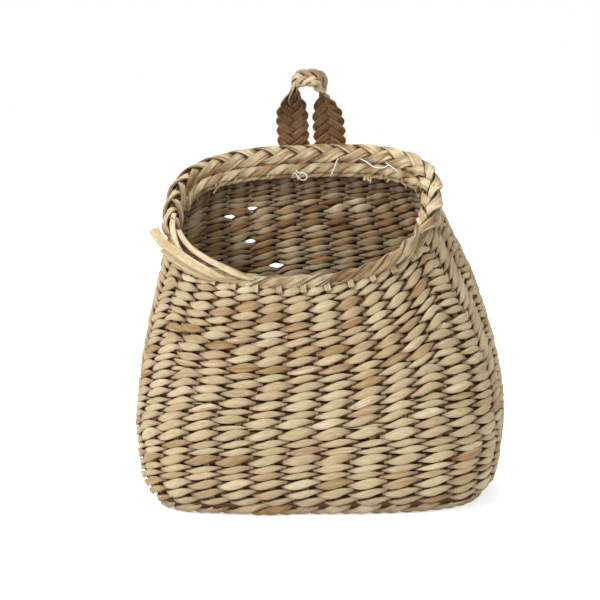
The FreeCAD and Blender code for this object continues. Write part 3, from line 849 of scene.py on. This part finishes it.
front = Bundle()
front_stakes = np.linspace(FRONT_START, FRONT_END, 500)
line, out, up = rim_frame(front_stakes)
bulk = np.interp(front_stakes, [FRONT_START, 17.5, 24.5, 27.4, FRONT_END], [1.2, 1.0, 1.0, 1.25, 0.8])
drop = np.interp(front_stakes, [FRONT_START, 17.8, 24.5, 28.2], [0.6, FRONT_DROP, FRONT_DROP, 0.2])
for k in range(FRONT_STRANDS):
    turn = 2.0 * math.pi * (front_stakes + k) / FRONT_STRANDS + 0.5
    drift = wander(len(line), 22, -0.16, 0.16)
    height = np.cos(turn + drift)
    side_shift = np.sin(turn + drift)
    fat = wander(len(line), 26, 0.88, 1.12)
    radial = out * height[:, None] + up * side_shift[:, None]
    centre = line - up * drop[:, None] + radial * (FRONT_RADIUS * bulk)[:, None]
    flat = unit(np.cross(radial, unit(np.gradient(centre, axis=0))))
    tone_base = patchy(len(line), 36, PALE)
    # painted shade on the side of each strand turned into the basket and where the strands meet
    shade = 0.3 * np.clip(-height, 0.0, 1.0) + 0.4 * np.clip((np.abs(side_shift) - 0.84) / 0.16, 0.0, 1.0)
    for sub in range(LEAVES):
        spread = (sub - 1.0) * FRONT_LEAF * 1.5 * bulk * wander(len(line), 24, 0.75, 1.12)
        sink = 0.5 * abs(sub - 1.0) + wander(len(line), 14, -0.3, 0.35)
        point = centre + flat * spread[:, None] - radial * sink[:, None]
        tone = np.clip(tone_base + wander(len(line), 30, -0.14, 0.12), 0.1, 0.86)
        leaf_on(
            front, point, radial, FRONT_LEAF * bulk * fat * wander(len(line), 18, 0.85, 1.15), FRONT_DEPTH, tone,
            shade=shade, sides=12, crease=0.4, edge=0.8,
        )
add_piece(front, "border_front", border_mat, "border_seagrass")

# the end of the border, laid over its start at the left and tucked in along the front; each leaf has
# places (stake, turn in degrees, distance from the core), half width, tone, and how far it turns to the front
FRONTWARD = np.array([0.1, -0.88, 0.46])
JOIN_STEPS = 70
JOIN_DEPTH = 0.95
JOIN_DIVE = 3.4
JOIN_TIP = 0.3
JOIN_TAPER = 3.2
JOIN_LEAVES = [
    (
        [
            (15.2, 12, 15.5), (15.9, 22, 12.0), (16.6, 42, 10.4), (17.4, 48, 9.2), (18.4, 36, 8.0),
            (19.1, 16, 7.0), (19.8, -10, 5.2),
        ],
        3.8, 0.66, 0.95,
    ),
    (
        [
            (15.9, 128, 8.8), (16.5, 124, 9.6), (17.55, 112, 9.4), (18.9, 92, 7.4), (19.7, 64, 6.4),
            (20.5, 30, 5.2),
        ],
        2.6, 0.72, 0.3,
    ),
    ([(15.9, -6, 13.0), (16.4, -8, 10.8), (17.2, -6, 9.6), (18.2, -14, 8.6), (19.2, -30, 6.4)], 2.8, 0.6, 0.8),
    ([(15.0, 112, 8.8), (15.7, 100, 9.9), (16.4, 86, 10.3), (17.0, 66, 9.4)], 2.2, 0.78, 0.2),
    ([(16.2, 14, 11.6), (16.6, 10, 10.2), (17.4, 14, 9.0), (18.8, 4, 7.6), (20.2, -18, 5.6)], 2.3, 0.5, 0.5),
    (
        [
            (16.7, 138, 8.4), (17.6, 132, 9.0), (18.8, 108, 7.6), (19.6, 88, 6.2), (20.4, 60, 5.0),
        ],
        2.1, 0.45, 0.2,
    ),
]
join = Bundle()
left = np.clip(np.linspace(JOIN_TAPER, 0.0, JOIN_STEPS), 0.0, 1.0)
taper = JOIN_TIP + (1.0 - JOIN_TIP) * left ** 0.7
dive = JOIN_DIVE * (1.0 - left) ** 2
for keys, half, tone, frontward in JOIN_LEAVES:
    point, radial = on_border(keys, JOIN_STEPS)
    weight = (frontward * np.linspace(1.0, 0.0, JOIN_STEPS) ** 1.2)[:, None]
    facing = unit(radial * (1.0 - weight) + FRONTWARD * weight)
    leaf_on(
        join, point - radial * dive[:, None], facing, half * taper * wander(JOIN_STEPS, 20, 0.86, 1.08), JOIN_DEPTH,
        tone + wander(JOIN_STEPS, 16, -0.12, 0.1), sides=14, crease=0.3, square=3.0, edge=0.4,
    )
add_piece(join, "border_join", border_mat, "border_seagrass", "rim_join_wrap")

# the last course, hidden under the border, and the paired stake ends that show over it at the front
SEAT_DROP = 6.2
SEAT_ROPE = (2.2, 3.6, 2.2)
SEAT_TONES = [0.2, 0.35, 0.5]
# painted shade on the course hidden under the border
SEAT_SHADE = 0.3
END_APART = 0.085
seat = Bundle()
seat_line = core_line - core_up * SEAT_DROP
rope(seat, seat_line, core_out, core_up, math.pi * core_stakes, SEAT_ROPE, SEAT_TONES, SEAT_SHADE)
end_share = np.linspace(0.97, 1.012, 8)
for stake in range(17, STAKES):
    for side in (-1.0, 0.0, 1.0):
        point, out, up = wall_frame(stake + 0.5 + side * END_APART, end_share, WALL / 2.0 - 0.1 + 0.3 * side)
        seat.strand(point, np.cross(up, out), out, 0.85, 0.7, rng.uniform(0.45, 0.8), 0.0, sides=8)
add_piece(seat, "border_seat", weave_mat, "woven_seagrass")

# ---------------------------------------------------------------- bindings inside the back
BIND_UP = (5.6, 0.6)
BIND_IN = (2.6, 1.8)
BIND_SIZE = (1.0, 0.8)
BIND_PITCH = 29.0
BIND_ROPE = (1.7, 3.1, 1.7)
# painted shade on the bindings
BIND_SHADE = 0.1
LOOSE_TIPS = 12
binding = Bundle()
bind_stakes = np.linspace(stake_at(18.0), stake_at(172.0), 330)
for row in range(2):
    ones = np.ones_like(bind_stakes)
    out = outward(bind_stakes, ones)
    line = face(bind_stakes, ones) - out * (WALL + BIND_IN[row])
    line[:, 2] += BIND_UP[row]
    up = np.broadcast_to(UPWARD, line.shape)
    out = unit(out)
    run = length_along(line) + np.cumsum(wander(len(line), 25, -0.12, 0.12))
    size = [part * BIND_SIZE[row] for part in BIND_ROPE]
    rope(binding, line, out, up, 2.0 * math.pi * run / BIND_PITCH, size, PALE, BIND_SHADE, closed=False)
    # half of the loose tips hang anywhere along the binding, half towards its right end
    for tip in range(LOOSE_TIPS):
        near = rng.integers(10, len(line) - 14) if tip % 2 else rng.integers(40, 90)
        fall = np.linspace(0.0, 1.0, 9)[:, None]
        lean = out[near] * rng.uniform(-3.5, -1.0) + up[near] * rng.uniform(-5.0, -1.5)
        along_line = unit(line[near + 8] - line[near])
        path = line[near] - out[near] * 1.5 + fall * (lean + along_line * rng.uniform(-7, 7))
        leaf_on(
            binding, path, np.repeat(-out[near][None], 9, 0), rng.uniform(0.6, 1.1), 0.4,
            rng.uniform(0.3, 0.85), sides=8,
        )
add_piece(binding, "inner_bindings", border_mat, "inside_seagrass", "rim_binding_1", "rim_binding_2")

# ---------------------------------------------------------------- braided strap
LOOP_X = -4.0
LEG_OFFSET = 15.6
LOOP_HEIGHT = 51.5
BEND = 289.0
STRAP_Y = 83.3
STRAP_HALF = 14.0
LEAN = math.radians(12.0)
TAIL_LOW = 236.5
TWIST_START = 0.04
TWIST_END = 0.36
APEX_TURN = math.radians(18.0)
LEG_POWER = 0.45
RISE_POWER = 0.92
STRAP_STRANDS = 5
STRAP_PERIOD = 42.0
STRAP_LIFT = 1.3
STRAP_LEAF = (2.9, 1.1)
TAIL_STEPS = 60
ARCH_STEPS = 180

turns = np.linspace(0.0, 1.0, ARCH_STEPS)
side = -np.cos(math.pi * turns)
rise = np.sin(math.pi * turns)
spread = np.sign(side) * np.abs(side) ** LEG_POWER
arch = np.stack([LEG_OFFSET * spread, np.zeros_like(turns), LOOP_HEIGHT * rise ** RISE_POWER], -1)
share = np.clip((np.minimum(turns, 1.0 - turns) - TWIST_START) / (TWIST_END - TWIST_START), 0.0, 1.0)
smooth = smooth_step(share)
twist = APEX_TURN * smooth - math.pi / 2.0 * (1.0 - smooth)
# the path starts straight up and ends straight down
ahead = np.gradient(arch, axis=0)
ahead[0] = (0, 0, 1)
ahead[-1] = (0, 0, -1)
ahead = unit(ahead)
back = np.broadcast_to(np.array([0.0, 1.0, 0.0]), arch.shape)
normal = np.cross(ahead, back)
wide = back * np.cos(twist)[:, None] + np.cross(ahead, back) * np.sin(twist)[:, None]
deep = normal * np.cos(twist)[:, None] + np.cross(ahead, normal) * np.sin(twist)[:, None]
lean = np.array([[1, 0, 0], [0, math.cos(LEAN), -math.sin(LEAN)], [0, math.sin(LEAN), math.cos(LEAN)]])
fold = np.array([LOOP_X, STRAP_Y, BEND])
arch = arch @ lean.T + fold
wide = wide @ lean.T
deep = deep @ lean.T
tail_z = np.linspace(TAIL_LOW, BEND, TAIL_STEPS)[:-1]


def tail(x, order):
    """Path of a tail from its end up to the fold, or back down."""
    points = np.stack([np.full_like(tail_z, x), np.full_like(tail_z, STRAP_Y), tail_z], -1)
    return points[::order]


def with_tails(directions):
    """The arch's directions, held along both tails."""
    ends = [np.repeat(directions[at][None], len(tail_z), 0) for at in (0, -1)]
    return np.concatenate([ends[0], directions, ends[1]])


strap_line = np.concatenate([tail(LOOP_X - LEG_OFFSET, 1), arch, tail(LOOP_X + LEG_OFFSET, -1)])
strap_wide = with_tails(wide)
strap_deep = with_tails(deep)
run = length_along(strap_line)
strap = Bundle()
# a thin leaf under the braid, darkened as painted shade between its strands
strap.strand(strap_line, strap_wide, strap_deep, STRAP_HALF - 4.0, 0.4, 0.1, 0.9, sides=8, square=3.0)
for k in range(STRAP_STRANDS):
    p = run / STRAP_PERIOD + k / STRAP_STRANDS
    across = zigzag(p) * (STRAP_HALF - 2.6)
    height = over_under(p, STRAP_STRANDS) * STRAP_LIFT
    centre = strap_line + strap_wide * across[:, None] + strap_deep * height[:, None]
    step = unit(np.gradient(centre, axis=0))
    leaf_wide = unit(np.cross(strap_deep, step))
    leaf_deep = unit(np.cross(step, leaf_wide))
    # painted shade in the groove where a strand passes under the others, and on each strand's inner face (under)
    groove_shade = 0.3 * np.clip(1.0 - np.abs(height), 0.0, 1.0)
    strap.strand(
        centre, leaf_wide, leaf_deep, *STRAP_LEAF, patchy(len(run), 22, PALE), groove_shade, sides=12, square=2.6,
        crease=0.55, under=0.86, edge=0.1,
    )
strap_piece = strap.build("braided_loop", strap_mat)
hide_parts("hanging_loop", "loop_tail_left", "loop_tail_right")
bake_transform(strap_piece)

# ---------------------------------------------------------------- nylon
THREAD_RADIUS = 0.5
nylon = bpy.data.materials.new("clear_nylon")
nylon.use_nodes = True
nylon_shader = nylon.node_tree.nodes["Principled BSDF"]
nylon_shader.inputs["Base Color"].default_value = srgb(236, 236, 232)
nylon_shader.inputs["Roughness"].default_value = 0.18
for stitch_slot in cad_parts["tail_stitches"].material_slots:
    stitch_slot.material = nylon
THREAD_STEPS = 12
THREADS = [
    (
        "nylon_curl_thread", "nylon_curl", [[
            (-18, 59, 258), (-15.5, 56, 260.5), (-13, 55, 257.5), (-10, 55, 254.6), (-6.5, 55.5, 254.8),
            (-5.5, 56, 257.8), (-8, 56, 260.2), (-12, 57.5, 260), (-15, 60, 262),
        ]],
    ),
    (
        "nylon_loose_threads", "nylon_loop", [
            [(21, 72, 273), (19, 66, 268.5), (17.3, 61.5, 263.5), (15.5, 58.5, 259), (14, 59.5, 256.5)],
            [(58, 68, 268), (63, 62, 264.5), (69, 58, 260.5), (74, 57, 255), (79, 56.5, 250)],
            [(36, 70, 271), (44, 64, 267.5), (51, 60.5, 263), (58, 59.5, 262), (63, 61, 264)],
        ],
    ),
]
for name, node, cords in THREADS:
    thread = Bundle()
    for keys in cords:
        keys = np.array(keys, float)
        at = np.linspace(0.0, len(keys) - 1.0, THREAD_STEPS * len(keys))
        path = np.stack([through(np.arange(len(keys)), keys[:, axis], at) for axis in range(3)], -1)
        facing = np.broadcast_to(np.array([0.0, -1.0, 0.0]), path.shape)
        leaf_on(thread, path, facing, THREAD_RADIUS, THREAD_RADIUS, 0.5, sides=8, square=2.0)
    add_piece(thread, name, nylon, "nylon_thread", node)

# ---------------------------------------------------------------- stage, light and camera
FLOOR_HALF = 6.0
FLOOR_Z = -0.0004
FLOOR_GREY = 0.9
FLOOR_ROUGHNESS = 0.9
FLOOR_GLOW = 0.6
WORLD_LIGHT = 0.42

floor = bpy.data.meshes.new("floor")
corners = [(x * FLOOR_HALF, y * FLOOR_HALF, FLOOR_Z) for x, y in ((-1, -1), (1, -1), (1, 1), (-1, 1))]
floor.from_pydata(corners, [], [(0, 1, 2, 3)])
floor_piece = bpy.data.objects.new("floor", floor)
bpy.context.scene.collection.objects.link(floor_piece)
floor_mat = bpy.data.materials.new("pale_floor")
floor_mat.use_nodes = True
floor_tree = floor_mat.node_tree
floor_shader = floor_tree.nodes["Principled BSDF"]
floor_shader.inputs["Base Color"].default_value = (FLOOR_GREY, FLOOR_GREY, FLOOR_GREY, 1)
floor_shader.inputs["Roughness"].default_value = FLOOR_ROUGHNESS
floor_shader.inputs["Emission Color"].default_value = (1, 1, 1, 1)
floor_seen = floor_tree.nodes.new("ShaderNodeLightPath")
floor_glow = floor_tree.nodes.new("ShaderNodeMath")
floor_glow.operation = "MULTIPLY"
floor_glow.inputs[1].default_value = FLOOR_GLOW
floor_tree.links.new(floor_seen.outputs["Is Camera Ray"], floor_glow.inputs[0])
floor_tree.links.new(floor_glow.outputs[0], floor_shader.inputs["Emission Strength"])
floor.materials.append(floor_mat)

world = bpy.data.worlds.new("studio")
bpy.context.scene.world = world
world.use_nodes = True
tree = world.node_tree
background = tree.nodes["Background"]
background.inputs["Color"].default_value = (1, 1, 1, 1)
rays = tree.nodes.new("ShaderNodeLightPath")
seen = tree.nodes.new("ShaderNodeMath")
seen.operation = "MAXIMUM"
passed = tree.nodes.new("ShaderNodeMath")
passed.operation = "MAXIMUM"
tree.links.new(rays.outputs["Is Glossy Ray"], passed.inputs[0])
tree.links.new(rays.outputs["Is Transmission Ray"], passed.inputs[1])
tree.links.new(rays.outputs["Is Camera Ray"], seen.inputs[0])
tree.links.new(passed.outputs[0], seen.inputs[1])
level = tree.nodes.new("ShaderNodeMapRange")
level.inputs["To Min"].default_value = WORLD_LIGHT
level.inputs["To Max"].default_value = 1.0
tree.links.new(seen.outputs[0], level.inputs["Value"])
tree.links.new(level.outputs["Result"], background.inputs["Strength"])


def lamp(name, place, target, size, watts):
    data = bpy.data.lights.new(name, "AREA")
    data.shape = "DISK"
    data.size = size
    data.energy = watts
    item = bpy.data.objects.new(name, data)
    item.location = place
    item.rotation_euler = (Vector(target) - Vector(place)).to_track_quat("-Z", "Y").to_euler()
    bpy.context.scene.collection.objects.link(item)


# name, place, target, size and watts
lamp("key", (-1.3, -1.1, 1.5), (0, 0, 0.15), 1.1, 35)
lamp("fill", (1.3, -1.6, 1.0), (0, 0, 0.15), 1.6, 10)
lamp("top", (-0.1, 0.75, 2.1), (0, 0, 0.2), 1.2, 30)

YAW = math.radians(8.0)
ROLL = math.radians(-2.4)
ELEVATION = math.radians(9.0)
DISTANCE = 1.5158
FOCAL_LENGTH = 110.96
LOOK_ASIDE = -0.00918
LOOK_UP = 0.0396
aim = Vector((0.0, 0.0, 0.120))
level_ahead = Vector((-math.sin(YAW), math.cos(YAW), 0.0))
forward = level_ahead * math.cos(ELEVATION) - Vector(UPWARD) * math.sin(ELEVATION)
right = Vector((math.cos(YAW), math.sin(YAW), 0.0))
above = right.cross(forward)
side_axis = right * math.cos(ROLL) + above * math.sin(ROLL)
top_axis = above * math.cos(ROLL) - right * math.sin(ROLL)
camera_data = bpy.data.cameras.new("camera")
camera_data.sensor_width = 36.0
camera_data.lens = FOCAL_LENGTH
camera = bpy.data.objects.new("camera", camera_data)
camera.location = aim - forward * DISTANCE
look = aim + side_axis * LOOK_ASIDE + top_axis * LOOK_UP
turned = (look - camera.location).to_track_quat("-Z", "Y") @ Quaternion((0.0, 0.0, 1.0), ROLL)
camera.rotation_euler = turned.to_euler()
bpy.context.scene.collection.objects.link(camera)
bpy.context.scene.camera = camera
bpy.context.scene.view_settings.view_transform = "Standard"
